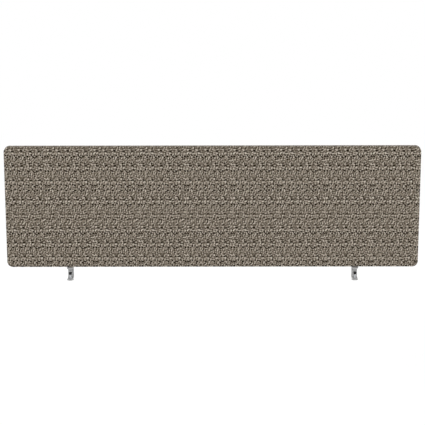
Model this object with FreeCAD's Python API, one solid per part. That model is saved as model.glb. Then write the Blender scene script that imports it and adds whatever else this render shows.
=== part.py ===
import FreeCAD, Part
import math
import os

# A fabric-covered privacy panel that stands along the rear edge of a desk on two screw clamps.
# X runs along the panel, Y from the user to the far side, Z up.
# The origin is on the desktop's top surface, at its rear edge, half way along the panel.

# Panel, over its cover
panel_length = 1600.0
panel_height = 480.0
panel_thickness = 25.0
panel_corner_radius = 22.0
face_edge_radius = 3.0  # where the cover turns from a face to an edge

# Cover and padding
cover_thickness = 1.0
foam_thickness = 2.5
hem_width = 7.0  # the cover's turn under the bottom edge, from each face

# Strip that closes the cover between the hems
strip_end_margin = 8.0  # from the start of the corner's curve
strip_side_clearance = 0.25

# Timber frame and its infill
stile_width = 45.0
rail_height = 45.0
centre_stile_width = 40.0
infill_clearance = 0.5

# Dowels in the frame's joints
dowel_diameter = 8.0
dowel_length = 40.0
dowel_spacing = 22.0
dowel_side_clearance = 0.05
dowel_end_clearance = 1.0

# Clamp brackets, bent from flat steel
clamp_inset = 245.0  # from the panel's end to the clamp's middle
strap_width = 22.0
strap_thickness = 4.0
strap_edge_radius = 0.6
pad_overhang = 1.5  # how much wider the arms' round ends are than the strap, each side
pad_blend_radius = 6.0
bend_radius = 3.0  # inside
jaw_opening = 42.5  # between the arms
jaw_depth = 44.0  # from the spine to the tips
panel_setback = 2.0  # from the spine to the panel's far face

# Countersunk screws that hold each bracket, and the inserts they go into
fixing_diameter = 4.0
fixing_length = 16.0
fixing_spacing = 12.0
fixing_hole_clearance = 0.25
fixing_head_diameter = 8.0
fixing_head_rim = 0.3
fixing_head_recess = 0.2
fixing_head_clearance = 0.1
fixing_socket_across = 2.5
fixing_socket_depth = 1.6
insert_diameter = 8.0
insert_length = 12.0
insert_recess = 0.5
insert_flare_depth = 0.8
thread_clearance = 0.05  # on the radius, for every thread
pilot_depth_beyond_insert = 3.0
timber_hole_clearance = 0.05

# Clamp screw, its ball end and its hexagon socket
screw_diameter = 6.0
screw_end_below_arm = 2.0
screw_end_chamfer = 0.6
screw_socket_across = 3.0
screw_socket_depth = 3.5
neck_diameter = 3.6
ball_diameter = 5.2
ball_clearance = 0.3

# Pressure foot that snaps over the ball
grip_at_rest = 16.0  # from the upper arm to the foot's face
foot_height = 9.0
foot_face_diameter = 13.5
foot_base_diameter = 9.6
foot_rim_height = 2.4
foot_edge_radius = 0.5
foot_ball_height = 3.0  # from the foot's base to the ball's centre
foot_mouth_diameter = 4.5
shoulder_gap = 0.4  # from the foot's base down to the screw's shoulder

# Construction
cut_margin = 1.0  # how far a cutting shape runs past what it cuts
same_place = 0.1  # two places this near each other are one

# Places worked out from the sizes above
pad_diameter = strap_width + 2 * pad_overhang
panel_back = -panel_setback
panel_front = panel_back - panel_thickness
panel_middle = (panel_front + panel_back) / 2
panel_bottom = strap_thickness
panel_top = panel_bottom + panel_height
core_front = panel_front + cover_thickness + foam_thickness
core_back = panel_back - cover_thickness - foam_thickness
core_bottom = panel_bottom + cover_thickness
core_top = panel_top - cover_thickness
core_end = panel_length / 2 - cover_thickness
stile_inner = core_end - stile_width
opening_bottom = core_bottom + rail_height
opening_top = core_top - rail_height
lower_arm_top = -jaw_opening
lower_arm_bottom = lower_arm_top - strap_thickness
screw_y = -(jaw_depth - pad_diameter / 2)  # the centre of the arms' round ends
foot_face = -grip_at_rest
foot_base = foot_face - foot_height
ball_centre = foot_base + foot_ball_height
clamp_x = panel_length / 2 - clamp_inset
clamp_sides = {"left": -clamp_x, "right": clamp_x}


def point(x, y, z):
    return FreeCAD.Vector(x, y, z)


def box(x_range, y_range, z_range):
    corner = point(x_range[0], y_range[0], z_range[0])
    return Part.makeBox(
        x_range[1] - x_range[0], y_range[1] - y_range[0], z_range[1] - z_range[0], corner
    )


def upright_cylinder(diameter, x, y, z_low, z_high):
    return Part.makeCylinder(diameter / 2, z_high - z_low, point(x, y, z_low))


def hexagon_prism(across_flats, x, y, z_low, z_high):
    radius = across_flats / math.sqrt(3)
    angles = [math.radians(60 * step) for step in range(7)]
    corners = [point(x + radius * math.cos(a), y + radius * math.sin(a), z_low) for a in angles]
    return Part.Face(Part.makePolygon(corners)).extrude(point(0, 0, z_high - z_low))


def turned(profile, x, y):
    """A solid of revolution about an upright axis; the profile is (radius, z) points."""
    corners = [point(x + radius, y, z) for radius, z in profile]
    face = Part.Face(Part.makePolygon(corners + corners[:1]))
    return face.revolve(point(x, y, 0), point(0, 0, 1), 360)


def panel_body(inset, edge_radius):
    """The panel's rounded slab, smaller all round by an inset."""
    length = panel_length - 2 * inset
    height = panel_height - 2 * inset
    thickness = panel_thickness - 2 * inset
    corner_radius = panel_corner_radius - inset
    corner = point(-length / 2, panel_front + inset, panel_bottom + inset)
    slab = Part.makeBox(length, thickness, height, corner)
    corners = [e for e in slab.Edges if e.BoundBox.YLength > thickness / 2]
    slab = slab.makeFillet(corner_radius, corners)
    outline = [e for e in slab.Edges if e.BoundBox.YLength < thickness / 2]
    return slab.makeFillet(edge_radius, outline)


def between(body, y_front, y_back):
    """The part of a body between two planes across the panel's thickness."""
    reach = panel_length + panel_height
    return body.common(box((-reach, reach), (y_front, y_back), (-reach, reach)))


def fixing_points():
    """The bracket screws' places along X, by side."""
    return {
        side: [x - fixing_spacing / 2, x + fixing_spacing / 2] for side, x in clamp_sides.items()
    }


def padded_core():
    return panel_body(cover_thickness, face_edge_radius - cover_thickness)


def covers():
    """A front and a back cover, sewn together along the middle of the top edge and the ends."""
    skin = panel_body(0.0, face_edge_radius).cut(padded_core())
    slot_end = panel_length / 2 - panel_corner_radius
    slot = box(
        (-slot_end, slot_end),
        (panel_front + hem_width, panel_back - hem_width),
        (panel_bottom - cover_thickness, core_bottom),
    )
    skin = skin.cut(slot)
    return {
        "front_fabric_cover": between(skin, panel_front - cut_margin, panel_middle),
        "back_fabric_cover": between(skin, panel_middle, panel_back + cut_margin),
    }


def foams():
    core = padded_core()
    return {
        "front_foam": between(core, panel_front, core_front),
        "back_foam": between(core, core_back, panel_back),
    }


def closing_strip():
    end = panel_length / 2 - panel_corner_radius - strip_end_margin
    side = hem_width + strip_side_clearance
    strip = box(
        (-end, end), (panel_front + side, panel_back - side), (panel_bottom, core_bottom)
    )
    hole = fixing_diameter + 2 * fixing_hole_clearance
    for places in fixing_points().values():
        for x in places:
            strip = strip.cut(upright_cylinder(hole, x, panel_middle, panel_bottom, core_bottom))
    return {"bottom_closing_strip": strip}


def dowel_places():
    """Each dowel's joint: the place along X or Z, the axis it runs along and the other place."""
    half_gap = dowel_spacing / 2
    places = []
    for side in (-1, 1):
        for rail_middle in (core_bottom + rail_height / 2, core_top - rail_height / 2):
            for offset in (-half_gap, half_gap):
                places.append(("X", side * stile_inner, rail_middle + offset))
    for joint_z in (opening_bottom, opening_top):
        for offset in (-half_gap, half_gap):
            places.append(("Z", offset, joint_z))
    return places


def dowel_solids(diameter, length):
    solids = []
    for axis, x, z in dowel_places():
        if axis == "X":
            start, direction = point(x - length / 2, panel_middle, z), point(1, 0, 0)
        else:
            start, direction = point(x, panel_middle, z - length / 2), point(0, 0, 1)
        solids.append(Part.makeCylinder(diameter / 2, length, start, direction))
    return solids


def timber_frame():
    """Two stiles with the panel's rounded corners, two rails and a centre stile, dowelled."""
    core = between(padded_core(), core_front, core_back)
    depth = (core_front, core_back)
    height = (core_bottom, core_top)
    half_centre = centre_stile_width / 2
    members = {
        "frame_left_stile": core.common(box((-core_end, -stile_inner), depth, height)),
        "frame_right_stile": core.common(box((stile_inner, core_end), depth, height)),
        "frame_top_rail": box((-stile_inner, stile_inner), depth, (opening_top, core_top)),
        "frame_bottom_rail": box(
            (-stile_inner, stile_inner), depth, (core_bottom, opening_bottom)
        ),
        "frame_centre_stile": box(
            (-half_centre, half_centre), depth, (opening_bottom, opening_top)
        ),
    }
    holes = dowel_solids(
        dowel_diameter + 2 * dowel_side_clearance, dowel_length + 2 * dowel_end_clearance
    )
    members = {name: member.cut(holes) for name, member in members.items()}
    members["frame_bottom_rail"] = members["frame_bottom_rail"].cut(insert_holes())
    members["frame_dowels"] = Part.makeCompound(dowel_solids(dowel_diameter, dowel_length))
    return members


def insert_holes():
    hole = insert_diameter + 2 * timber_hole_clearance
    hole_top = core_bottom + insert_recess + insert_length
    pilot = fixing_diameter + 2 * fixing_hole_clearance
    holes = []
    for places in fixing_points().values():
        for x in places:
            holes.append(upright_cylinder(hole, x, panel_middle, core_bottom, hole_top))
            pilot_top = hole_top + pilot_depth_beyond_insert
            holes.append(upright_cylinder(pilot, x, panel_middle, hole_top, pilot_top))
    return holes


def infill_boards():
    half_centre = centre_stile_width / 2 + infill_clearance
    outer = stile_inner - infill_clearance
    height = (opening_bottom + infill_clearance, opening_top - infill_clearance)
    return {
        "left_infill_board": box((-outer, -half_centre), (core_front, core_back), height),
        "right_infill_board": box((half_centre, outer), (core_front, core_back), height),
    }


def threaded_inserts():
    """Brass sleeves screwed into the bottom rail, two above each bracket."""
    low = core_bottom + insert_recess
    high = low + insert_length
    groups = {}
    for side, places in fixing_points().items():
        sleeves = []
        for x in places:
            sleeve = upright_cylinder(insert_diameter, x, panel_middle, low, high)
            sleeve = sleeve.cut(upright_cylinder(fixing_diameter, x, panel_middle, low, high))
            flare = Part.makeCone(
                fixing_diameter / 2 + insert_flare_depth,
                fixing_diameter / 2,
                insert_flare_depth,
                point(x, panel_middle, low),
            )
            sleeves.append(sleeve.cut(flare))
        groups[side + "_threaded_inserts"] = Part.makeCompound(sleeves)
    return groups


def fixing_screw(x, extra):
    """A countersunk screw, head down. The extra widens it all round for its countersink."""
    shank_radius = fixing_diameter / 2 - thread_clearance
    head_radius = fixing_head_diameter / 2 + extra
    head_low = fixing_head_recess
    rim_top = head_low + fixing_head_rim + extra
    cone_top = rim_top + head_radius - shank_radius
    return turned(
        [
            (0, head_low),
            (head_radius, head_low),
            (head_radius, rim_top),
            (shank_radius, cone_top),
            (shank_radius, head_low + fixing_length),
            (0, head_low + fixing_length),
        ],
        x,
        panel_middle,
    )


def bracket_screws():
    groups = {}
    for side, places in fixing_points().items():
        screws = []
        for x in places:
            socket_top = fixing_head_recess + fixing_socket_depth
            socket = hexagon_prism(
                fixing_socket_across, x, panel_middle, fixing_head_recess, socket_top
            )
            screws.append(fixing_screw(x, 0.0).cut(socket))
        groups[side + "_bracket_screws"] = Part.makeCompound(screws)
    return groups


def strap_profile(x):
    """A C that opens towards the user, in the plane at x, with arms longer than the bracket's."""
    outer_radius = bend_radius + strap_thickness
    diagonal = math.sqrt(0.5)

    def arc(y, z, radius, y_sign, z_sign, from_z):
        """A quarter circle about (y, z). It starts on its upright or its level radius."""
        level = point(x, y + y_sign * radius, z)
        upright = point(x, y, z + z_sign * radius)
        middle = point(x, y + y_sign * radius * diagonal, z + z_sign * radius * diagonal)
        start, end = (upright, level) if from_z else (level, upright)
        return Part.Arc(start, middle, end).toShape()

    def line(y_start, z_start, y_end, z_end):
        return Part.LineSegment(point(x, y_start, z_start), point(x, y_end, z_end)).toShape()

    upper_bend = -bend_radius
    lower_bend = lower_arm_top + bend_radius
    tip = -jaw_depth - cut_margin
    edges = [
        line(tip, strap_thickness, -bend_radius, strap_thickness),
        arc(-bend_radius, upper_bend, outer_radius, 1, 1, True),
        line(strap_thickness, upper_bend, strap_thickness, lower_bend),
        arc(-bend_radius, lower_bend, outer_radius, 1, -1, False),
        line(-bend_radius, lower_arm_bottom, tip, lower_arm_bottom),
        line(tip, lower_arm_bottom, tip, lower_arm_top),
        line(tip, lower_arm_top, -bend_radius, lower_arm_top),
        arc(-bend_radius, lower_bend, bend_radius, 1, -1, True),
        line(0, lower_bend, 0, upper_bend),
        arc(-bend_radius, upper_bend, bend_radius, 1, 1, False),
        line(-bend_radius, 0, tip, 0),
        line(tip, 0, tip, strap_thickness),
    ]
    return Part.Face(Part.Wire(edges))


def is_side_face(face):
    """True for a face that the strap's plan outline makes, and not its bent broad faces."""
    surface = face.Surface
    if isinstance(surface, Part.Plane):
        return abs(surface.Axis.x) > 0.5
    return abs(surface.Axis.z) > 0.5


def strap_plan(x):
    """The strap seen from above, as a solid taller than the bracket: a strip and a round pad."""
    half = strap_width / 2
    low, high = lower_arm_bottom - cut_margin, strap_thickness + cut_margin
    plan = box((x - half, x + half), (screw_y, strap_thickness), (low, high))
    plan = plan.fuse(upright_cylinder(pad_diameter, x, screw_y, low, high)).removeSplitter()
    neck_y = screw_y + math.sqrt(pad_diameter**2 - strap_width**2) / 2
    necks = []
    for edge in plan.Edges:
        bounds = edge.BoundBox
        upright = bounds.ZLength > (high - low) / 2
        if upright and abs(bounds.YMin - neck_y) < same_place:
            necks.append(edge)
    return plan.makeFillet(pad_blend_radius, necks)


def bent_strap(x):
    """The bracket before its holes are made, with round pads and softened edges."""
    half = pad_diameter / 2
    strap = strap_profile(x - half).extrude(point(pad_diameter, 0, 0))
    strap = strap.common(strap_plan(x)).removeSplitter()
    side_edges = [edge for face in strap.Faces if is_side_face(face) for edge in face.Edges]
    outline = []
    for edge in strap.Edges:
        beside = sum(edge.isSame(other) for other in side_edges)
        if beside == 1:
            outline.append(edge)
    return strap.makeFillet(strap_edge_radius, outline)


def brackets():
    hole = fixing_diameter + 2 * fixing_hole_clearance
    nodes = {}
    for side, x in clamp_sides.items():
        strap = bent_strap(x)
        for fixing_x in fixing_points()[side]:
            strap = strap.cut(upright_cylinder(hole, fixing_x, panel_middle, 0, strap_thickness))
            countersink = fixing_screw(fixing_x, fixing_head_clearance)
            mouth = fixing_head_diameter + 2 * fixing_head_clearance
            strap = strap.cut(countersink)
            strap = strap.cut(
                upright_cylinder(mouth, fixing_x, panel_middle, 0, fixing_head_recess)
            )
        thread = upright_cylinder(screw_diameter, x, screw_y, lower_arm_bottom, lower_arm_top)
        nodes[side + "_bracket"] = strap.cut(thread)
    return nodes


def clamp_screws():
    """A socket screw with a ball end, driven from below with a hexagon key."""
    radius = screw_diameter / 2 - thread_clearance
    low = lower_arm_bottom - screw_end_below_arm
    shoulder = foot_base - shoulder_gap
    nodes = {}
    for side, x in clamp_sides.items():
        shank = turned(
            [
                (0, low),
                (radius - screw_end_chamfer, low),
                (radius, low + screw_end_chamfer),
                (radius, shoulder - screw_end_chamfer),
                (radius - screw_end_chamfer, shoulder),
                (neck_diameter / 2, shoulder),
                (neck_diameter / 2, ball_centre),
                (0, ball_centre),
            ],
            x,
            screw_y,
        )
        ball = Part.makeSphere(ball_diameter / 2, point(x, screw_y, ball_centre))
        socket = hexagon_prism(screw_socket_across, x, screw_y, low, low + screw_socket_depth)
        nodes[side + "_clamp_screw"] = shank.fuse(ball).cut(socket)
    return nodes


def clamp_feet():
    """A flanged foot that tapers down to the socket around the screw's ball."""
    face_radius = foot_face_diameter / 2
    rim_low = foot_face - foot_rim_height
    nodes = {}
    for side, x in clamp_sides.items():
        foot = turned(
            [
                (0, foot_base),
                (foot_base_diameter / 2 - foot_edge_radius, foot_base),
                (foot_base_diameter / 2, foot_base + foot_edge_radius),
                (face_radius, rim_low),
                (face_radius, foot_face - foot_edge_radius),
                (face_radius - foot_edge_radius, foot_face),
                (0, foot_face),
            ],
            x,
            screw_y,
        )
        socket = Part.makeSphere(
            ball_diameter / 2 + ball_clearance, point(x, screw_y, ball_centre)
        )
        mouth = upright_cylinder(foot_mouth_diameter, x, screw_y, foot_base, ball_centre)
        nodes[side + "_clamp_foot"] = foot.cut(socket).cut(mouth)
    return nodes


nodes = {}
for make_group in (
    timber_frame,
    infill_boards,
    foams,
    covers,
    closing_strip,
    threaded_inserts,
    brackets,
    bracket_screws,
    clamp_screws,
    clamp_feet,
):
    nodes.update(make_group())

os.makedirs("parts", exist_ok=True)
for node, shape in nodes.items():
    shape.exportStep("parts/" + node + ".step")
    print(node, len(shape.Solids), round(shape.Volume), shape.isValid())
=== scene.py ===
import math

import bmesh
import bpy
from mathutils import Matrix, Vector, noise


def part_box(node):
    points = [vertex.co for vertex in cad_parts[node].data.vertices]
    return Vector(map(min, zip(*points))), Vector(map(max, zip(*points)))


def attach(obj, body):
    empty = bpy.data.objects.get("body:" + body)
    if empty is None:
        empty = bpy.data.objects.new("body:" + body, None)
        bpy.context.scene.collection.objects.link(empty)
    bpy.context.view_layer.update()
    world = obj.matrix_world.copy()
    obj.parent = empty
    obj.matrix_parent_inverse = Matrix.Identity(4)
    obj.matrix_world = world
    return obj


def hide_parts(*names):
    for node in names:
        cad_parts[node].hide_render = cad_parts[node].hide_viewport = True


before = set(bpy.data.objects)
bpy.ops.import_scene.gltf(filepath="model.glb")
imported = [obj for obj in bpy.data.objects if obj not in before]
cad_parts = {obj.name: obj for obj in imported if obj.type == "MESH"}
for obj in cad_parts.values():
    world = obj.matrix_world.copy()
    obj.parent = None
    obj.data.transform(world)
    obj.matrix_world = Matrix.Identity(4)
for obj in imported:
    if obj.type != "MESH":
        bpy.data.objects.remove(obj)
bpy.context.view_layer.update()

panel = "panel_and_brackets"


# ---- Timber frame -------------------------------------------------------------------------
# Planed pine, ripped to one depth: two end stiles with the panel's rounded corners cut on them,
# a top and a bottom rail and a centre stile. The members are glued up on dowels.


class Wire:
    """A shader socket. Arithmetic on wires adds Math nodes, and node() adds any other node."""

    def __init__(self, tree, socket):
        self.tree = tree
        self.socket = socket

    def node(self, kind, settings, inputs, output=0):
        """Adds a node with these settings and these values or links, and gives one output."""
        made = self.tree.nodes.new(kind)
        for name, value in settings.items():
            if name == "stops":
                self.set_stops(made.color_ramp, value)
            else:
                setattr(made, name, value)
        for name, value in inputs.items():
            if isinstance(value, Wire):
                self.tree.links.new(value.socket, made.inputs[name])
            else:
                made.inputs[name].default_value = value
        return Wire(self.tree, made.outputs[output])

    def set_stops(self, ramp, stops):
        while len(ramp.elements) < len(stops):
            ramp.elements.new(0.5)
        for element, (place, colour) in zip(ramp.elements, stops):
            element.position = place
            element.color = (*colour, 1.0)

    def maths(self, operation, *others):
        values = dict(enumerate((self, *others)))
        return self.node("ShaderNodeMath", {"operation": operation}, values)

    def output(self, name):
        """Another output of the node that this wire comes from."""
        return Wire(self.tree, self.socket.node.outputs[name])

    def feeds(self, socket):
        self.tree.links.new(self.socket, socket)

    def __add__(self, other):
        return self.maths("ADD", other)

    __radd__ = __add__

    def __sub__(self, other):
        return self.maths("SUBTRACT", other)

    def __rsub__(self, other):
        return (self * -1.0) + other

    def __mul__(self, other):
        return self.maths("MULTIPLY", other)

    __rmul__ = __mul__

    def __truediv__(self, other):
        return self.maths("DIVIDE", other)

    def __mod__(self, other):
        return self.maths("FLOORED_MODULO", other)

    def __gt__(self, other):
        return self.maths("GREATER_THAN", other)

    def __lt__(self, other):
        return self.maths("LESS_THAN", other)

    def __abs__(self):
        return self.maths("ABSOLUTE")

    def floor(self):
        return self.maths("FLOOR")

    def lowest(self, other):
        return self.maths("MINIMUM", other)

    def highest(self, other):
        return self.maths("MAXIMUM", other)

    def clamped(self):
        return self.highest(0.0).lowest(1.0)

    def ramp(self, *stops):
        return self.node("ShaderNodeValToRGB", {"stops": stops}, {"Fac": self})

    def between(self, low, high):
        """0 below low, 1 above high, and a smooth rise from one to the other."""
        return self.node(
            "ShaderNodeMapRange",
            {"interpolation_type": "SMOOTHSTEP"},
            {"Value": self, "From Min": low, "From Max": high},
        )

    def mapped(self, scale=(1, 1, 1), turn=(0, 0, 0), place=(0, 0, 0)):
        inputs = {"Vector": self, "Scale": scale, "Rotation": turn, "Location": place}
        return self.node("ShaderNodeMapping", {}, inputs)

    def grain(self, scale, detail=2.0, rough=0.5):
        """Noise from 0 to 1 over a vector."""
        inputs = {"Vector": self, "Scale": scale, "Detail": detail, "Roughness": rough}
        return self.node("ShaderNodeTexNoise", {}, inputs)

    def relief(self, depth, strength=1.0):
        """A normal from this wire as a height, where 1 stands depth metres above 0."""
        inputs = {"Height": self, "Distance": depth, "Strength": strength}
        return self.node("ShaderNodeBump", {}, inputs)


def new_finish(name, roughness, metallic=0.0, shine=0.5):
    """A material, its shader's sockets and a wire of the piece's own coordinates."""
    material = bpy.data.materials.new(name)
    material.use_nodes = True
    tree = material.node_tree
    sockets = tree.nodes["Principled BSDF"].inputs
    sockets["Roughness"].default_value = roughness
    sockets["Metallic"].default_value = metallic
    sockets["Specular IOR Level"].default_value = shine
    place = Wire(tree, tree.nodes.new("ShaderNodeTexCoord").outputs["Object"])
    return material, sockets, place


def finish_node(node, material):
    """Gives a piece that keeps its CAD shape its finish."""
    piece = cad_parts[node]
    piece.data.materials.clear()
    piece.data.materials.append(material)


def wood(name, turn, pale, dark, ring_scale, roughness=0.62):
    """Planed timber whose grain runs along X, or along Z when it is turned."""
    material, sockets, place = new_finish(name, roughness)
    along = place.mapped(turn=turn)
    sway = along.mapped(scale=(1.2, 6.0, 6.0)).grain(1.0)
    rings = along.mapped(scale=(0.35, 9.0, 9.0), place=(0.0, 0.37, 0.11)).grain(ring_scale, 1.0)
    bands = ((rings * 14.0 + sway * 2.0) % 1.0).between(0.15, 0.95)
    fibres = along.mapped(scale=(12.0, 900.0, 900.0)).grain(1.0, 3.0)
    tone = (bands * 0.55 + fibres * 0.45).clamped()
    tone.ramp((0.1, dark), (0.75, pale)).feeds(sockets["Base Color"])
    (fibres * 0.7 + bands * 0.3).relief(0.0002, 0.5).feeds(sockets["Normal"])
    return material


pine_pale = (0.66, 0.47, 0.27)
pine_dark = (0.46, 0.27, 0.12)
pine_rings = 1.6
quarter_turn = math.pi / 2
pine_level = wood("pine_level", (0, 0, 0), pine_pale, pine_dark, pine_rings)
pine_upright = wood("pine_upright", (0, quarter_turn, 0), pine_pale, pine_dark, pine_rings)
for member in ("frame_top_rail", "frame_bottom_rail"):
    finish_node(member, pine_level)
for member in ("frame_left_stile", "frame_right_stile", "frame_centre_stile"):
    finish_node(member, pine_upright)


# ---- Frame dowels -------------------------------------------------------------------------
# Twelve 8 mm beech dowels, pressed with glue into the ends of the rails and the centre stile.
# Beech is redder than the pine, and its growth rings lie closer together.

beech_pale = (0.60, 0.40, 0.25)
beech_dark = (0.44, 0.26, 0.15)
beech = wood("beech", (0, 0, 0), beech_pale, beech_dark, ring_scale=3.5, roughness=0.55)
finish_node("frame_dowels", beech)


# ---- Infill boards ------------------------------------------------------------------------
# Two sheets of fibreboard that fill the frame's openings, so that the panel's faces stay flat.
# They are pressed from brown wood fibre and left bare.

fibreboard, board_sockets, board_place = new_finish("fibreboard", 0.8)
board_fibre = board_place.mapped(scale=(1.0, 1.0, 2.2)).grain(420.0, 4.0, 0.7)
board_cloud = board_place.grain(7.0, 2.0)
board_tone = board_fibre * 0.7 + board_cloud * 0.3
board_tone.ramp((0.3, (0.22, 0.14, 0.08)), (0.7, (0.47, 0.35, 0.23))).feeds(
    board_sockets["Base Color"]
)
board_fibre.relief(0.0002, 0.4).feeds(board_sockets["Normal"])
for board in ("left_infill_board", "right_infill_board"):
    finish_node(board, fibreboard)


# ---- Threaded inserts ---------------------------------------------------------------------
# Turned brass sleeves, two above each bracket, screwed into the bottom rail from below.
# The turning leaves fine rings, and the brass has dulled a little.

brass, brass_sockets, brass_place = new_finish("turned_brass", 0.3, metallic=1.0)
brass_rings = brass_place.mapped(scale=(40.0, 40.0, 6000.0)).grain(1.0, 2.0)
brass_dull = brass_place.grain(260.0, 3.0)
brass_dull.ramp((0.35, (0.55, 0.37, 0.14)), (0.65, (0.78, 0.57, 0.27))).feeds(
    brass_sockets["Base Color"]
)
(brass_rings * 0.2 + brass_dull * 0.25 + 0.12).feeds(brass_sockets["Roughness"])
brass_rings.relief(0.00003, 0.5).feeds(brass_sockets["Normal"])
for inserts in ("left_threaded_inserts", "right_threaded_inserts"):
    finish_node(inserts, brass)


# ---- Foam layers --------------------------------------------------------------------------
# A thin sheet of grey open-cell foam is stuck to each face of the frame, under the cover. It
# rounds over at the panel's edges and is a little fuller in the middle than at the rim.


def rounded_sheet(length, height, corner_radius, corner_steps):
    """A flat sheet with rounded corners, upright in X and Z about the origin, facing -Y."""
    sheet = bmesh.new()
    bmesh.ops.create_grid(sheet, x_segments=1, y_segments=1, size=0.5)
    bmesh.ops.scale(sheet, vec=(length, height, 1), verts=sheet.verts)
    bmesh.ops.rotate(sheet, matrix=Matrix.Rotation(quarter_turn, 3, "X"), verts=sheet.verts)
    bmesh.ops.bevel(
        sheet,
        geom=sheet.verts[:],
        affect="VERTICES",
        offset=corner_radius,
        segments=corner_steps,
        profile=0.5,
        material=-1,
    )
    return sheet


def cut_at(mesh, place, direction):
    """Cuts a mesh's faces where a plane crosses them, so that it can bend or open there."""
    bmesh.ops.bisect_plane(
        mesh,
        geom=mesh.verts[:] + mesh.edges[:] + mesh.faces[:],
        dist=1e-6,
        plane_co=place,
        plane_no=direction,
    )


def cut_across(mesh, axis, low, high, count):
    """Cuts a mesh by evenly spaced planes along an axis."""
    direction = Vector(axis)
    for step in range(1, count):
        cut_at(mesh, direction * (low + (high - low) * step / count), direction)


def points_of(made):
    """The vertices among what an operator made."""
    return [item for item in made if isinstance(item, bmesh.types.BMVert)]


def piece_from(mesh, name, body, material, smooth=True):
    """Turns a bmesh into a piece that rides on a body."""
    data = bpy.data.meshes.new(name)
    mesh.to_mesh(data)
    mesh.free()
    data.materials.append(material)
    for face in data.polygons:
        face.use_smooth = smooth
    piece = bpy.data.objects.new(name, data)
    bpy.context.scene.collection.objects.link(piece)
    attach(piece, body)
    return piece


foam_corner = 0.021
foam_corner_steps = 8
foam_cuts_across = 40
foam_cuts_up = 12
foam_rim = 0.02  # the width over which the foam rises to its full thickness
foam_rise = 0.2  # how much of the thickness it gains there
foam_grey, foam_sockets, foam_place = new_finish("open_cell_foam", 0.95, shine=0.2)
foam_cells = foam_place.node(
    "ShaderNodeTexVoronoi", {"feature": "DISTANCE_TO_EDGE"}, {"Vector": foam_place, "Scale": 900.0}
)
# The pores sink below the cell walls and are painted darker, as painted shade in the hollows
foam_pore_depth_and_shade = foam_cells.between(0.02, 0.25)
foam_pore_depth_and_shade.ramp((0.0, (0.62, 0.62, 0.60)), (1.0, (0.34, 0.34, 0.33))).feeds(
    foam_sockets["Base Color"]
)
(1.0 - foam_pore_depth_and_shade).relief(0.0003, 0.6).feeds(foam_sockets["Normal"])

for side in ("front", "back"):
    low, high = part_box(side + "_foam")
    size = high - low
    foam = rounded_sheet(size.x, size.z, foam_corner, foam_corner_steps)
    cut_across(foam, (1, 0, 0), -size.x / 2, size.x / 2, foam_cuts_across)
    cut_across(foam, (0, 0, 1), -size.z / 2, size.z / 2, foam_cuts_up)
    raised = bmesh.ops.extrude_face_region(foam, geom=foam.faces[:])["geom"]
    outward = -1 if side == "front" else 1
    for point in points_of(raised):
        from_side = size.x / 2 - abs(point.co.x)
        from_end = size.z / 2 - abs(point.co.z)
        fullness = min(1.0, min(from_side, from_end) / foam_rim)
        point.co.y += outward * size.y * (1 - foam_rise + foam_rise * fullness)
    bmesh.ops.recalc_face_normals(foam, faces=foam.faces)
    base = high.y if side == "front" else low.y
    bmesh.ops.translate(foam, vec=(0, base, (low.z + high.z) / 2), verts=foam.verts)
    pad = piece_from(foam, side + "_foam_layer", panel, foam_grey)
    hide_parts(side + "_foam")


# ---- Fabric covers ------------------------------------------------------------------------
# Two halves cut from a heavy tweed-like upholstery cloth, sewn together along the middle of the
# top edge and the ends, and pulled over the frame like a sleeve. Along the bottom each half turns
# under by a hem. The cloth's pattern repeats, and it runs on over the edges without a trim.

face_rounding = 0.003
face_rounding_steps = 5
corner_rounding = 0.022
corner_steps = 10
cover_thickness = 0.001
cover_cuts_across = 100
cover_cuts_up = 30
hem_width = 0.007
seam_dip = 0.0008
seam_reach = 0.0022  # how far the dip reaches from the seam
seam_cuts = (0.0004, 0.0009, 0.0015, seam_reach)
crown_height = 0.0002
crown_width = 0.07  # from the edge in to where the face has its full crown
ripple_height = 0.00012
ripples_across = 7  # to a metre
ripples_up = 9
ripple_shift = 3.1  # sets the two halves' ripples apart
repeat_across = 0.1786
repeat_down = 0.3052
front_start = 0.0031  # from the face's top edge down to where a repeat starts
back_start = 0.1207
whole_repeats = 4  # repeats from the panel's left end to the one that the map calls zero
same_place = 1e-5  # two places this near each other are one


def loop_noise(across, down, count_across, count_down):
    """Noise that repeats with the cloth's pattern, because it runs round two circles. The counts
    are how many of its cells a repeat holds."""
    radius_across = count_across / math.tau
    radius_down = count_down / math.tau
    turn_across = across * math.tau
    turn_down = down * math.tau
    around = turn_across.node(
        "ShaderNodeCombineXYZ",
        {},
        {
            "X": turn_across.maths("COSINE") * radius_across,
            "Y": turn_across.maths("SINE") * radius_across,
            "Z": turn_down.maths("COSINE") * radius_down,
        },
    )
    return around.node(
        "ShaderNodeTexNoise",
        {"noise_dimensions": "4D"},
        {
            "Vector": around,
            "W": turn_down.maths("SINE") * radius_down,
            "Scale": 1.0,
            "Detail": 0.0,
        },
    )


def grain_and_shade_noise(across, down, count_across, count_down, step_across, step_down):
    """Loop noise less the noise one step away: the grain without broad patches, each pale nub with
    painted shade one step off.
    """
    here = loop_noise(across, down, count_across, count_down)
    return here - loop_noise(across + step_across, down + step_down, count_across, count_down)


def chance(across, down, seed):
    """An even random value for each whole across and down."""
    both = across.node("ShaderNodeCombineXYZ", {}, {"X": across, "Y": down, "Z": seed})
    return both.node("ShaderNodeTexWhiteNoise", {"noise_dimensions": "3D"}, {"Vector": both})


def fleck(across, down, middle, half_size, slope=0.0):
    """1 inside a soft-edged oval of yarn and 0 outside. Sizes are in millimetres."""
    x = across - middle[0]
    y = down - middle[1]
    along = x * math.cos(slope) + y * math.sin(slope)
    aside = y * math.cos(slope) - x * math.sin(slope)
    along = along / half_size[0]
    aside = aside / half_size[1]
    spread = along * along + aside * aside
    return 1.0 - spread.between(0.7, 1.2)


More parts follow.
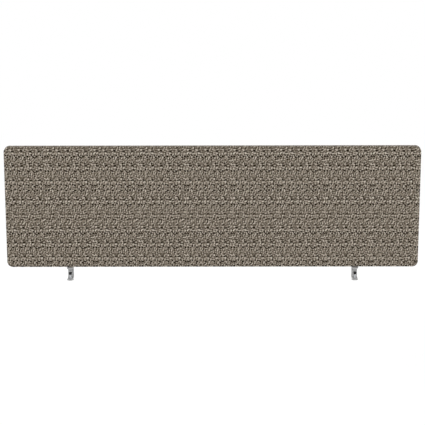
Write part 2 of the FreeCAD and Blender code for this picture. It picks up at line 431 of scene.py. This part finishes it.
tweed, tweed_sockets, tweed_place = new_finish("tweed_cloth", 0.95, shine=0.06)
tweed_map = tweed_place.node("ShaderNodeUVMap", {"uv_map": "OFBake"}, {})
across = tweed_map.node("ShaderNodeSeparateXYZ", {}, {"Vector": tweed_map})
down = 1.0 - across.output("Y")

# The yarns: a plain weave in which ends and picks, each rounded across its width, lie on top
# by turns
yarns_across = 144
yarns_down = 240
end = (across * yarns_across).floor()
pick = (down * yarns_down).floor()
end_side = across * yarns_across - end - 0.5
pick_side = down * yarns_down - pick - 0.5
over = (end + pick) % 2.0
end_round = 1.0 - end_side * end_side * 4.0
pick_round = 1.0 - pick_side * pick_side * 4.0
yarn = over * end_round + (1.0 - over) * pick_round

# Where each yarn lies in the pattern's draft of sixteen groups each way. Five figures of three
# groups and one extra group fill it: the extra one is in the last column and the middle row.
groups = 16
figure_groups = 3
by_yarn = 0.8  # how much of a mark's outline follows whole yarns
first_group_across = 0.3
first_group_down = -0.15
last_column = 4.0
extra_row_end = 10.0
extra_column_step = 0.97
extra_row_start = 2.22
hair = 0.001  # of a group
yarn_across = (end + 0.5) / yarns_across * by_yarn + across * (1 - by_yarn)
yarn_down = (pick + 0.5) / yarns_down * by_yarn + down * (1 - by_yarn)
group_width = repeat_across * 1000 / groups
group_height = repeat_down * 1000 / groups
draft_across = (yarn_across * groups + first_group_across) % groups
draft_down = (yarn_down * groups + first_group_down) % groups
figure_column = (draft_across / figure_groups).floor().lowest(last_column)
in_column = draft_across - figure_column * figure_groups
past_extra = draft_down > extra_row_end
up_to_extra = draft_down.lowest(extra_row_end - 1.0 - hair)
without_extra = (1.0 - past_extra) * up_to_extra + past_extra * (draft_down - 1.0)
figure_row = (without_extra / figure_groups).floor()
in_row = draft_down - figure_row * figure_groups - past_extra

# The extra group repeats the figure's last one across, and its second one down
middle_row = abs(figure_row - 2.0) < 0.5
in_column = in_column - (in_column > figure_groups) * extra_column_step
in_row = in_row - (in_row > extra_row_start) * middle_row
odd_row = figure_row % 2.0
long_stroke = (abs(figure_column - 3.0) < 0.5).highest(figure_row < 0.5)
last_row = figure_row > 3.5

# The figure's marks: place across and down in groups, half sizes in millimetres, turn, and how
# strong the mark is in the even rows and in the odd ones
dark_marks = (
    (0.42, 0.60, 5.6, 2.7, 0.0, 1.0, 1.0),
    (0.93, 1.41, 4.3, 2.7, 0.9, 1.0, 1.0),
    (2.55, 1.68, 4.9, 2.8, 0.4, 1.0, 1.0),
    (0.10, 0.12, 4.7, 2.2, 0.0, 0.4, 0.8),
    (1.50, 0.32, 3.9, 2.0, 0.0, 0.15, 0.75),
    (1.80, 1.42, 2.4, 1.7, 0.0, 0.5, 0.35),
    (1.28, 0.90, 2.6, 1.9, 0.0, 0.3, 0.6),
    (2.12, 0.57, 3.0, 2.0, 0.0, 0.5, 0.55),
    (0.28, 2.30, 2.2, 2.1, 0.0, 0.55, 0.5),
    (1.60, 2.36, 3.3, 1.7, 0.0, 0.5, 0.65),
    (1.85, 2.82, 2.7, 2.0, 0.0, 0.55, 0.65),
    (2.45, 2.20, 2.4, 1.9, 0.0, 0.45, 0.45),
    (2.55, 2.80, 2.4, 1.9, 0.0, 0.45, 0.35),
)
pale_marks = (
    (0.42, 1.02, 5.1, 2.4, 0.0, 1.0, 1.0),
    (2.50, 0.33, 4.9, 2.8, 0.6, 0.8, 0.85),
    (2.35, 1.02, 3.2, 2.8, 0.0, 0.55, 0.55),
    (0.92, 1.84, 3.0, 2.6, 0.0, 0.85, 0.6),
    (1.45, 1.20, 2.7, 2.7, 0.0, 0.5, 0.35),
    (1.50, 1.70, 2.5, 2.1, 0.0, 0.4, 0.35),
    (2.42, 1.34, 4.0, 2.1, 0.0, 0.4, 0.85),
    (0.70, 2.20, 2.3, 2.5, 0.0, 0.45, 0.45),
    (0.42, 2.70, 2.5, 2.5, 0.0, 0.55, 0.35),
    (2.12, 2.58, 2.8, 3.4, 0.0, 0.55, 0.5),
    (1.30, 2.68, 2.3, 2.7, 0.0, 0.4, 0.5),
    (2.88, 2.42, 2.1, 2.7, 0.0, 0.5, 0.5),
)


def woven(marks):
    """The strongest of the marks at each place. A mark may lie over the figure's edge."""
    strongest = 0.0
    half_figure = figure_groups / 2
    for middle_across, middle_down, half_across, half_down, slope, in_even, in_odd in marks:
        x = (in_column - middle_across + half_figure) % figure_groups - half_figure
        y = (in_row - middle_down + half_figure) % figure_groups - half_figure
        mark = fleck(x * group_width, y * group_height, (0, 0), (half_across, half_down), slope)
        strength = odd_row * (in_odd - in_even) + in_even
        strongest = (mark * strength).highest(strongest)
    return strongest


# One dark stroke is longer in the fourth column and in the first row. The last row is fainter.
x = in_column * group_width
y = in_row * group_height
stroke_end = fleck(x, y, (17.3, 35.3), (4.4, 2.8), 0.6) * (long_stroke * 0.9 + 0.1)
dark = woven(dark_marks).highest(stroke_end) * (1.0 - last_row * 0.4)
light = woven(pale_marks) * (1.0 - last_row * 0.3)

# Mottling over the whole repeat and within each figure, each pale nub with painted shade one step
# off, and the unevenness of spun wool
mottle_and_shade = grain_and_shade_noise(yarn_across, yarn_down, 44.0, 72.0, 0.019, 0.0115)
across_figure = in_column / figure_groups
down_figure = in_row / figure_groups
figure_mottle_and_shade = grain_and_shade_noise(across_figure, down_figure, 8.0, 13.0, 0.1013, 0.0613)
fibre = loop_noise(across, down, 420.0, 700.0)
yarn_luck = chance(end % yarns_across, pick % yarns_down, 5.0)
tone = 0.56 + mottle_and_shade * 1.05 + figure_mottle_and_shade * 0.4
tone = (tone + (1.08 - tone) * (light * 0.7)) * (1.0 - dark * 0.92)
tone = tone + (yarn_luck - 0.5) * 0.24 + (fibre - 0.5) * 0.3
# Painted shade between the yarns, darker where each yarn rounds down
tone = tone - (1.0 - yarn) * 0.2
tone.ramp(
    (0.0, (0.006, 0.004, 0.002)),
    (0.25, (0.038, 0.028, 0.017)),
    (0.5, (0.140, 0.115, 0.087)),
    (0.75, (0.325, 0.282, 0.231)),
    (1.0, (0.620, 0.570, 0.490)),
).feeds(tweed_sockets["Base Color"])
lie = yarn * 0.8 + fibre * 0.2
lie.relief(0.0006, 0.8).feeds(tweed_sockets["Normal"])
tweed_sockets["Sheen Weight"].default_value = 0.02
tweed_sockets["Sheen Roughness"].default_value = 0.6


def lay_pattern(cover, half_length, half_height, middle_z, face_y, facing):
    """Writes where the cloth's pattern falls, unrolled over the rounding and the edges. Seen
    from its own side, each half's pattern runs from left to right."""
    pattern_start = front_start if facing < 0 else back_start
    layer = cover.loops.layers.uv.new("OFBake")
    core_x = half_length - corner_rounding
    core_z = half_height - corner_rounding
    for face in cover.faces:
        for loop in face.loops:
            x = loop.vert.co.x
            z = loop.vert.co.z - middle_z
            near = Vector((max(-core_x, min(core_x, x)), max(-core_z, min(core_z, z))))
            outward = Vector((x, z)) - near
            depth = abs(loop.vert.co.y - face_y)
            if depth < face_rounding:
                turned = face_rounding * math.acos(max(0.0, 1 - depth / face_rounding))
            else:
                turned = face_rounding * quarter_turn + depth - face_rounding
            flat_reach = corner_rounding - face_rounding
            if outward.length > flat_reach:
                outward = outward.normalized() * (flat_reach + turned)
            place = near + outward
            across_cloth = (half_length - facing * place.x) / repeat_across - whole_repeats
            down_cloth = (half_height - place.y - pattern_start) / repeat_down
            loop[layer].uv = (across_cloth, 1 - down_cloth)


def drawn_in(point, half_length, half_height, middle_z, face_y, seam_y, outward):
    """Shapes the stretched cloth: a slight crown and ripple on the face, a dip at the seam."""
    from_side = half_length - abs(point.x)
    from_end = half_height - abs(point.z - middle_z)
    inside = min(from_side, from_end)
    if abs(point.y - face_y) < same_place:
        crown = min(1.0, inside / crown_width)
        crown = crown * crown * (3 - 2 * crown)
        ripple_place = (point.x * ripples_across, ripple_shift * outward, point.z * ripples_up)
        ripple = noise.noise(Vector(ripple_place))
        point.y += outward * (crown_height * crown + ripple_height * ripple * crown)
    to_seam = abs(point.y - seam_y)
    if to_seam < seam_reach:
        dip = seam_dip * (1 - to_seam / seam_reach) ** 2
        core_x = half_length - corner_rounding
        core_z = half_height - corner_rounding
        near_x = max(-core_x, min(core_x, point.x))
        near_z = max(-core_z, min(core_z, point.z - middle_z))
        away = Vector((point.x - near_x, 0, point.z - middle_z - near_z))
        if away.length > same_place:
            point -= away.normalized() * dip


for side in ("front", "back"):
    low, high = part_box(side + "_fabric_cover")
    outward = -1 if side == "front" else 1
    face_y = low.y if side == "front" else high.y
    seam_y = high.y if side == "front" else low.y
    half_length = (high.x - low.x) / 2
    half_height = (high.z - low.z) / 2
    middle_z = (high.z + low.z) / 2
    half_depth = abs(face_y - seam_y)
    cover = rounded_sheet(half_length * 2, half_height * 2, corner_rounding, corner_steps)
    bmesh.ops.translate(cover, vec=(0, -half_depth, 0), verts=cover.verts)
    rim = [edge for edge in cover.edges if edge.is_boundary]
    turned_in = bmesh.ops.extrude_edge_only(cover, edges=rim)["geom"]
    bmesh.ops.translate(cover, vec=(0, half_depth, 0), verts=points_of(turned_in))
    bmesh.ops.bevel(
        cover,
        geom=rim,
        affect="EDGES",
        offset=face_rounding,
        segments=face_rounding_steps,
        profile=0.5,
        material=-1,
    )
    cut_across(cover, (1, 0, 0), -half_length, half_length, cover_cuts_across)
    cut_across(cover, (0, 0, 1), -half_height, half_height, cover_cuts_up)
    for back_from_seam in seam_cuts:
        cut_at(cover, (0, -back_from_seam, 0), (0, 1, 0))
    # The bottom edge is open between the hems, as far as the rounded corners
    hem_y = hem_width - half_depth
    cut_at(cover, (0, hem_y, 0), (0, 1, 0))
    slot_end = half_length - corner_rounding
    for end_x in (-slot_end, slot_end):
        cut_at(cover, (end_x, 0, 0), (1, 0, 0))
    opened = []
    for face in cover.faces:
        middle = face.calc_center_median()
        at_bottom = middle.z + half_height < same_place
        if at_bottom and middle.y > hem_y and abs(middle.x) < slot_end:
            opened.append(face)
    bmesh.ops.delete(cover, geom=opened, context="FACES")
    if side == "back":
        bmesh.ops.scale(cover, vec=(1, -1, 1), verts=cover.verts)
    bmesh.ops.recalc_face_normals(cover, faces=cover.faces)
    bmesh.ops.translate(cover, vec=(0, seam_y, middle_z), verts=cover.verts)
    lay_pattern(cover, half_length, half_height, middle_z, face_y, outward)
    for point in cover.verts:
        drawn_in(point.co, half_length, half_height, middle_z, face_y, seam_y, outward)
    cloth = piece_from(cover, side + "_tweed_cover", panel, tweed)
    wall = cloth.modifiers.new("cloth_thickness", "SOLIDIFY")
    wall.thickness = cover_thickness
    wall.offset = -1
    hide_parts(side + "_fabric_cover")


# ---- Cover seam ---------------------------------------------------------------------------
# The two halves meet in a plain seam that lies in a shallow valley round the top and the ends.
# Its thread is a strong brown polyester, and a short stitch shows every four millimetres.

stitch_pitch = 0.004
stitch_length = 0.0024
stitch_thickness = 0.0005
stitch_slant = 0.25


def seam_line(half_length, top, bottom, radius, pitch):
    """Evenly spaced places on the panel's edge, up one end, along the top and down the other."""
    straight_up = top - bottom - 2 * radius
    straight_across = 2 * half_length - 2 * radius
    quarter = quarter_turn * radius
    total = 2 * straight_up + straight_across + 4 * quarter
    places = []
    for number in range(1, int(total / pitch)):
        along = number * pitch
        runs = (quarter, straight_up, quarter, straight_across, quarter, straight_up, quarter)
        run = 0
        while along > runs[run]:
            along -= runs[run]
            run += 1
        side = -1 if run < 3 else 1
        if run == 3:
            places.append((along - straight_across / 2, top, quarter_turn))
        elif run in (1, 5):
            rise = along if run == 1 else straight_up - along
            places.append((side * half_length, bottom + radius + rise, 0 if side > 0 else math.pi))
        else:
            turn = along / radius
            angle = {0: -quarter_turn - turn, 2: math.pi - turn, 4: quarter_turn - turn, 6: -turn}
            centre_z = bottom + radius if run in (0, 6) else top - radius
            centre_x = side * (half_length - radius)
            places.append(
                (
                    centre_x + radius * math.cos(angle[run]),
                    centre_z + radius * math.sin(angle[run]),
                    angle[run],
                )
            )
    return places


thread, thread_sockets, thread_place = new_finish("seam_thread", 0.6, shine=0.3)
thread_ply = thread_place.mapped(turn=(0.6, 0, 0.4)).grain(3000.0, 1.0)
thread_ply.ramp((0.35, (0.06, 0.05, 0.04)), (0.65, (0.17, 0.145, 0.115))).feeds(
    thread_sockets["Base Color"]
)

one_stitch = bmesh.new()
bmesh.ops.create_uvsphere(one_stitch, u_segments=6, v_segments=4, radius=0.5)
bmesh.ops.scale(
    one_stitch, vec=(stitch_thickness, stitch_length, stitch_thickness), verts=one_stitch.verts
)
stitch = bpy.data.meshes.new("stitch")
one_stitch.to_mesh(stitch)
one_stitch.free()
low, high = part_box("front_fabric_cover")
seam_places = seam_line(
    high.x - seam_dip, high.z - seam_dip, low.z, corner_rounding - seam_dip, stitch_pitch
)
seam = bmesh.new()
for x, z, angle in seam_places:
    lay = Matrix.Translation((x, high.y, z)) @ Matrix.Rotation(-angle, 4, "Y")
    lay = lay @ Matrix.Rotation(stitch_slant, 4, "X")
    stitch.transform(lay)
    seam.from_mesh(stitch)
    stitch.transform(lay.inverted())
bpy.data.meshes.remove(stitch)
stitches = piece_from(seam, "cover_seam_stitches", panel, thread)


# ---- Closing strip ------------------------------------------------------------------------
# A black polypropylene strip that hides the frame between the two hems, along the bottom edge.
# It is stapled up through both of its sides into the bottom rail.

strip_black, strip_sockets, strip_place = new_finish("woven_strip", 0.55, shine=0.35)
strip_wear = strip_place.grain(60.0, 3.0) * 0.6
strip_wear.ramp((0.2, (0.012, 0.012, 0.012)), (0.7, (0.035, 0.035, 0.034))).feeds(
    strip_sockets["Base Color"]
)
finish_node("bottom_closing_strip", strip_black)

staple_crown = 0.008
staple_width = 0.0008
staple_thickness = 0.0006
staple_edge = 0.0002
staple_sinking = 0.0001  # how far the crown's middle lies above the strip's underside
staple_pitch = 0.06
staple_inset = 0.0016  # from the strip's side
staple_steel, staple_sockets, staple_place = new_finish("staple_steel", 0.35, metallic=1.0)
staple_place.grain(900.0).ramp((0.3, (0.42, 0.42, 0.43)), (0.7, (0.60, 0.60, 0.61))).feeds(
    staple_sockets["Base Color"]
)
strip_low, strip_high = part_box("bottom_closing_strip")
bracket_places = [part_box(side + "_bracket") for side in ("left", "right")]
staples = bmesh.new()
staple_count = int((strip_high.x - strip_low.x) / staple_pitch)
for number in range(staple_count + 1):
    x = (number - staple_count / 2) * staple_pitch
    under_bracket = any(
        low.x - staple_crown < x < high.x + staple_crown for low, high in bracket_places
    )
    if under_bracket:
        continue
    for y in (strip_low.y + staple_inset, strip_high.y - staple_inset):
        place = Matrix.Translation((x, y, strip_low.z + staple_sinking))
        size = Matrix.Diagonal((staple_crown, staple_width, staple_thickness, 1))
        made = bmesh.ops.create_cube(staples, size=1.0, matrix=place @ size)["verts"]
        edges = {edge for vert in made for edge in vert.link_edges}
        bmesh.ops.bevel(
            staples,
            geom=list(edges),
            affect="EDGES",
            offset=staple_edge,
            segments=1,
            profile=0.5,
            material=-1,
        )
staple_row = piece_from(staples, "closing_strip_staples", panel, staple_steel)


# ---- Clamp brackets -----------------------------------------------------------------------
# Each is one length of flat steel, bent twice into a C with round tips, drilled, countersunk and
# tapped. It is zinc plated and passivated to a soft silver, finely rubbed across its width.

silver, silver_sockets, silver_place = new_finish("silver_plate", 0.42, metallic=0.2)
silver_cloud = silver_place.grain(70.0, 3.0)
silver_rub = silver_place.mapped(scale=(60.0, 900.0, 900.0)).grain(1.0, 2.0)
(silver_cloud * 0.5 + silver_rub * 0.5).ramp(
    (0.3, (0.27, 0.27, 0.27)), (0.7, (0.40, 0.40, 0.40))
).feeds(silver_sockets["Base Color"])
(silver_cloud * 0.2 + silver_rub * 0.15 + 0.22).feeds(silver_sockets["Roughness"])
silver_rub.relief(0.00003, 0.3).feeds(silver_sockets["Normal"])
for bracket in ("left_bracket", "right_bracket"):
    finish_node(bracket, silver)


# ---- Bracket screws -----------------------------------------------------------------------
# Countersunk M4 socket screws, two to a bracket, driven up into the brass inserts. Their heads
# are sunk just inside the upper arm's underside, so that the arm lies flat on the desktop.

zinc, zinc_sockets, zinc_place = new_finish("bright_zinc", 0.25, metallic=1.0)
zinc_cloud = zinc_place.grain(500.0, 3.0)
zinc_cloud.ramp((0.3, (0.60, 0.61, 0.63)), (0.7, (0.78, 0.79, 0.81))).feeds(
    zinc_sockets["Base Color"]
)
(zinc_cloud * 0.3 + 0.12).feeds(zinc_sockets["Roughness"])
for screws in ("left_bracket_screws", "right_bracket_screws"):
    finish_node(screws, zinc)


# ---- Clamp screws -------------------------------------------------------------------------
# An M6 steel screw stands in each lower arm's thread. A hexagon key turns it from below, and its
# upper end is turned down to a neck and a ball, on which the foot snaps.

thread_pitch = 0.001
thread_depth = 0.00055
thread_profile = ((0, 0.0), (0, 0.125), (1, 0.4375), (1, 0.5625), (0, 0.875), (0, 1.0))
screw_segments = 24
screw_chamfer = 0.0006
shoulder_chamfer = 0.0002
shoulder_gap = 0.0004  # from the foot's base down to the shoulder
neck_radius = 0.0018
ball_radius = 0.0026
ball_steps = 9
socket_across = 0.003
socket_depth = 0.0035


def edges_of(made):
    """The edges among what an operator made."""
    return [item for item in made if isinstance(item, bmesh.types.BMEdge)]


def ring_after(mesh, ring, centre, radius, z):
    """Draws a ring of edges out to a new ring of a given radius and height."""
    made = bmesh.ops.extrude_edge_only(mesh, edges=ring)["geom"]
    for point in points_of(made):
        aside = Vector((point.co.x - centre.x, point.co.y - centre.y, 0)).normalized()
        point.co = Vector((centre.x, centre.y, z)) + aside * radius
    return edges_of(made)


def open_ring(mesh, z):
    """The open edges of a mesh at a height."""
    found = []
    for edge in mesh.edges:
        heights = [vert.co.z for vert in edge.verts]
        if edge.is_boundary and max(abs(height - z) for height in heights) < same_place:
            found.append(edge)
    return found


for side in ("left", "right"):
    low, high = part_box(side + "_clamp_screw")
    axis = Vector(((low.x + high.x) / 2, (low.y + high.y) / 2, 0))
    crest_radius = (high.x - low.x) / 2
    root_radius = crest_radius - thread_depth
    ball_z = high.z - ball_radius
    foot_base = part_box(side + "_clamp_foot")[0].z
    shoulder_z = foot_base - shoulder_gap
    thread_low = low.z + screw_chamfer
    thread_high = shoulder_z - screw_chamfer
    turns = math.ceil((thread_high - thread_low) / thread_pitch) + 2
    # The thread's profile, spun up from one pitch below the screw and cut off at both ends
    screw = bmesh.new()
    start_z = thread_low - thread_pitch
    points = []
    for at_crest, share in thread_profile:
        radius = crest_radius if at_crest else root_radius
        place = (axis.x + radius, axis.y, start_z + share * thread_pitch)
        points.append(screw.verts.new(place))
    edges = [screw.edges.new(pair) for pair in zip(points, points[1:])]
    bmesh.ops.spin(
        screw,
        geom=points + edges,
        cent=(axis.x, axis.y, 0),
        axis=(0, 0, 1),
        dvec=(0, 0, thread_pitch / screw_segments),
        angle=math.tau * turns,
        steps=screw_segments * turns,
        use_merge=False,
        use_duplicate=False,
    )
    bmesh.ops.remove_doubles(screw, verts=screw.verts, dist=1e-6)
    for plane_z, outer in ((thread_low, False), (thread_high, True)):
        bmesh.ops.bisect_plane(
            screw,
            geom=screw.verts[:] + screw.edges[:] + screw.faces[:],
            dist=1e-7,
            plane_co=(0, 0, plane_z),
            plane_no=(0, 0, 1),
            clear_outer=outer,
            clear_inner=not outer,
        )
    # Up from the thread: chamfer, shoulder, neck and ball
    shoulder_radius = root_radius - shoulder_chamfer
    ring = ring_after(screw, open_ring(screw, thread_high), axis, shoulder_radius, shoulder_z)
    ring = ring_after(screw, ring, axis, neck_radius, shoulder_z)
    neck_top = ball_z - math.sqrt(ball_radius**2 - neck_radius**2)
    ring = ring_after(screw, ring, axis, neck_radius, neck_top)
    first_angle = -math.acos(neck_radius / ball_radius)
    for step in range(1, ball_steps):
        angle = first_angle + (quarter_turn - first_angle) * step / ball_steps
        height = ball_z + ball_radius * math.sin(angle)
        ring = ring_after(screw, ring, axis, ball_radius * math.cos(angle), height)
    bmesh.ops.edgeloop_fill(screw, edges=ring)
    # Down from the thread: chamfer, end face and hexagon socket
    end_radius = crest_radius - screw_chamfer
    ring = ring_after(screw, open_ring(screw, thread_low), axis, end_radius, low.z)
    hexagon = bmesh.ops.create_circle(
        screw,
        segments=6,
        radius=socket_across / math.sqrt(3),
        matrix=Matrix.Translation((axis.x, axis.y, low.z)),
    )["verts"]
    hexagon_edges = list({edge for vert in hexagon for edge in vert.link_edges})
    bmesh.ops.bridge_loops(screw, edges=ring + hexagon_edges)
    bore = bmesh.ops.extrude_edge_only(screw, edges=hexagon_edges)["geom"]
    bmesh.ops.translate(screw, vec=(0, 0, socket_depth), verts=points_of(bore))
    bmesh.ops.edgeloop_fill(screw, edges=edges_of(bore))
    bmesh.ops.recalc_face_normals(screw, faces=screw.faces)
    threaded = piece_from(screw, side + "_threaded_screw", side + "_screw", zinc, smooth=False)
    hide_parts(side + "_clamp_screw")


# ---- Clamp feet ---------------------------------------------------------------------------
# A moulded foot of black polyamide snaps over each screw's ball and bears on the desktop's
# underside. Its flange is plain, and the moulding leaves a fine matt grain.

nylon, nylon_sockets, nylon_place = new_finish("black_nylon", 0.5, shine=0.2)
nylon_grain = nylon_place.grain(2500.0, 2.0)
nylon_grain.ramp((0.3, (0.004, 0.004, 0.004)), (0.7, (0.009, 0.009, 0.009))).feeds(
    nylon_sockets["Base Color"]
)
(nylon_grain * 0.2 + 0.38).feeds(nylon_sockets["Roughness"])
nylon_grain.relief(0.00003, 0.4).feeds(nylon_sockets["Normal"])
for foot in ("left_clamp_foot", "right_clamp_foot"):
    finish_node(foot, nylon)


# ---- Studio -------------------------------------------------------------------------------
# A plain white floor lies a desk's height below the desktop. Floor and sky look white to the eye,
# in metal too, and near the panel the floor keeps some of its shading. A dimmer sky and three
# large soft lamps light the panel.

floor_z = -0.75
floor_reach = 30
floor_shading = 0.25  # how much of the floor's own shading is seen near the panel
shading_near = 1.5
shading_far = 6.0
sky_strength = 0.36
lamp_size = 2.6
lamp_aim = Vector((0, 0, 0.2))
camera_place = (0, -6.181, 1.869)
camera_fall = math.radians(14.97)  # below level
camera_roll = -0.0014
white = (1, 1, 1, 1)


def seen_itself(tree):
    """1 for what the eye sees, straight or in metal or glass, and 0 for the light it casts."""
    seen = Wire(tree, tree.nodes.new("ShaderNodeLightPath").outputs["Is Camera Ray"])
    return seen.highest(seen.output("Is Glossy Ray")).highest(seen.output("Is Transmission Ray"))


floor_mesh = bmesh.new()
bmesh.ops.create_grid(floor_mesh, x_segments=1, y_segments=1, size=floor_reach)
bmesh.ops.translate(floor_mesh, vec=(0, 0, floor_z), verts=floor_mesh.verts)
floor_white, floor_sockets, floor_place = new_finish("floor_white", 0.9, shine=0.1)
floor_sockets["Base Color"].default_value = (0.9, 0.9, 0.9, 1)
floor_tree = floor_white.node_tree
direct = seen_itself(floor_tree)
away = floor_place.node("ShaderNodeVectorMath", {"operation": "LENGTH"}, {0: floor_place}, "Value")
whiteness = away.between(shading_near, shading_far) * floor_shading + (1 - floor_shading)
glow = direct.node("ShaderNodeEmission", {}, {"Color": white, "Strength": 1.0})
shaded = Wire(floor_tree, floor_tree.nodes["Principled BSDF"].outputs["BSDF"])
both = direct.node("ShaderNodeMixShader", {}, {0: direct * whiteness, 1: shaded, 2: glow})
both.feeds(floor_tree.nodes["Material Output"].inputs["Surface"])
floor_data = bpy.data.meshes.new("floor")
floor_mesh.to_mesh(floor_data)
floor_mesh.free()
floor_data.materials.append(floor_white)
floor = bpy.data.objects.new("floor", floor_data)
bpy.context.scene.collection.objects.link(floor)

world = bpy.data.worlds.new("studio")
bpy.context.scene.world = world
world.use_nodes = True
world_tree = world.node_tree
dim_sky = world_tree.nodes["Background"]
dim_sky.inputs["Color"].default_value = white
dim_sky.inputs["Strength"].default_value = sky_strength
sky_seen = seen_itself(world_tree)
backdrop = sky_seen.node("ShaderNodeBackground", {}, {"Color": white, "Strength": 1.0})
skies = {0: sky_seen, 1: Wire(world_tree, dim_sky.outputs["Background"]), 2: backdrop}
sky = sky_seen.node("ShaderNodeMixShader", {}, skies)
sky.feeds(world_tree.nodes["World Output"].inputs["Surface"])


def soft_lamp(name, place, power):
    """A square area lamp, aimed at the panel's middle."""
    light = bpy.data.lights.new(name, "AREA")
    light.shape = "SQUARE"
    light.size = lamp_size
    light.energy = power
    lamp = bpy.data.objects.new(name, light)
    lamp.location = place
    lamp.rotation_euler = (lamp_aim - Vector(place)).to_track_quat("-Z", "Y").to_euler()
    bpy.context.scene.collection.objects.link(lamp)


soft_lamp("key_lamp", (-2.6, -4.2, 3.6), 190)
soft_lamp("fill_lamp", (3.2, -3.8, 2.2), 122)
soft_lamp("back_lamp", (0.0, 3.6, 3.4), 190)

camera_data = bpy.data.cameras.new("camera")
camera_data.sensor_width = 36.0
camera_data.lens = 139.6
camera_data.clip_end = 100
camera = bpy.data.objects.new("camera", camera_data)
tilt = Matrix.Rotation(quarter_turn - camera_fall, 3, "X")
camera.location = camera_place
camera.rotation_euler = (tilt @ Matrix.Rotation(camera_roll, 3, "Z")).to_euler()
bpy.context.scene.collection.objects.link(camera)
bpy.context.scene.camera = camera
bpy.context.scene.view_settings.view_transform = "Standard"
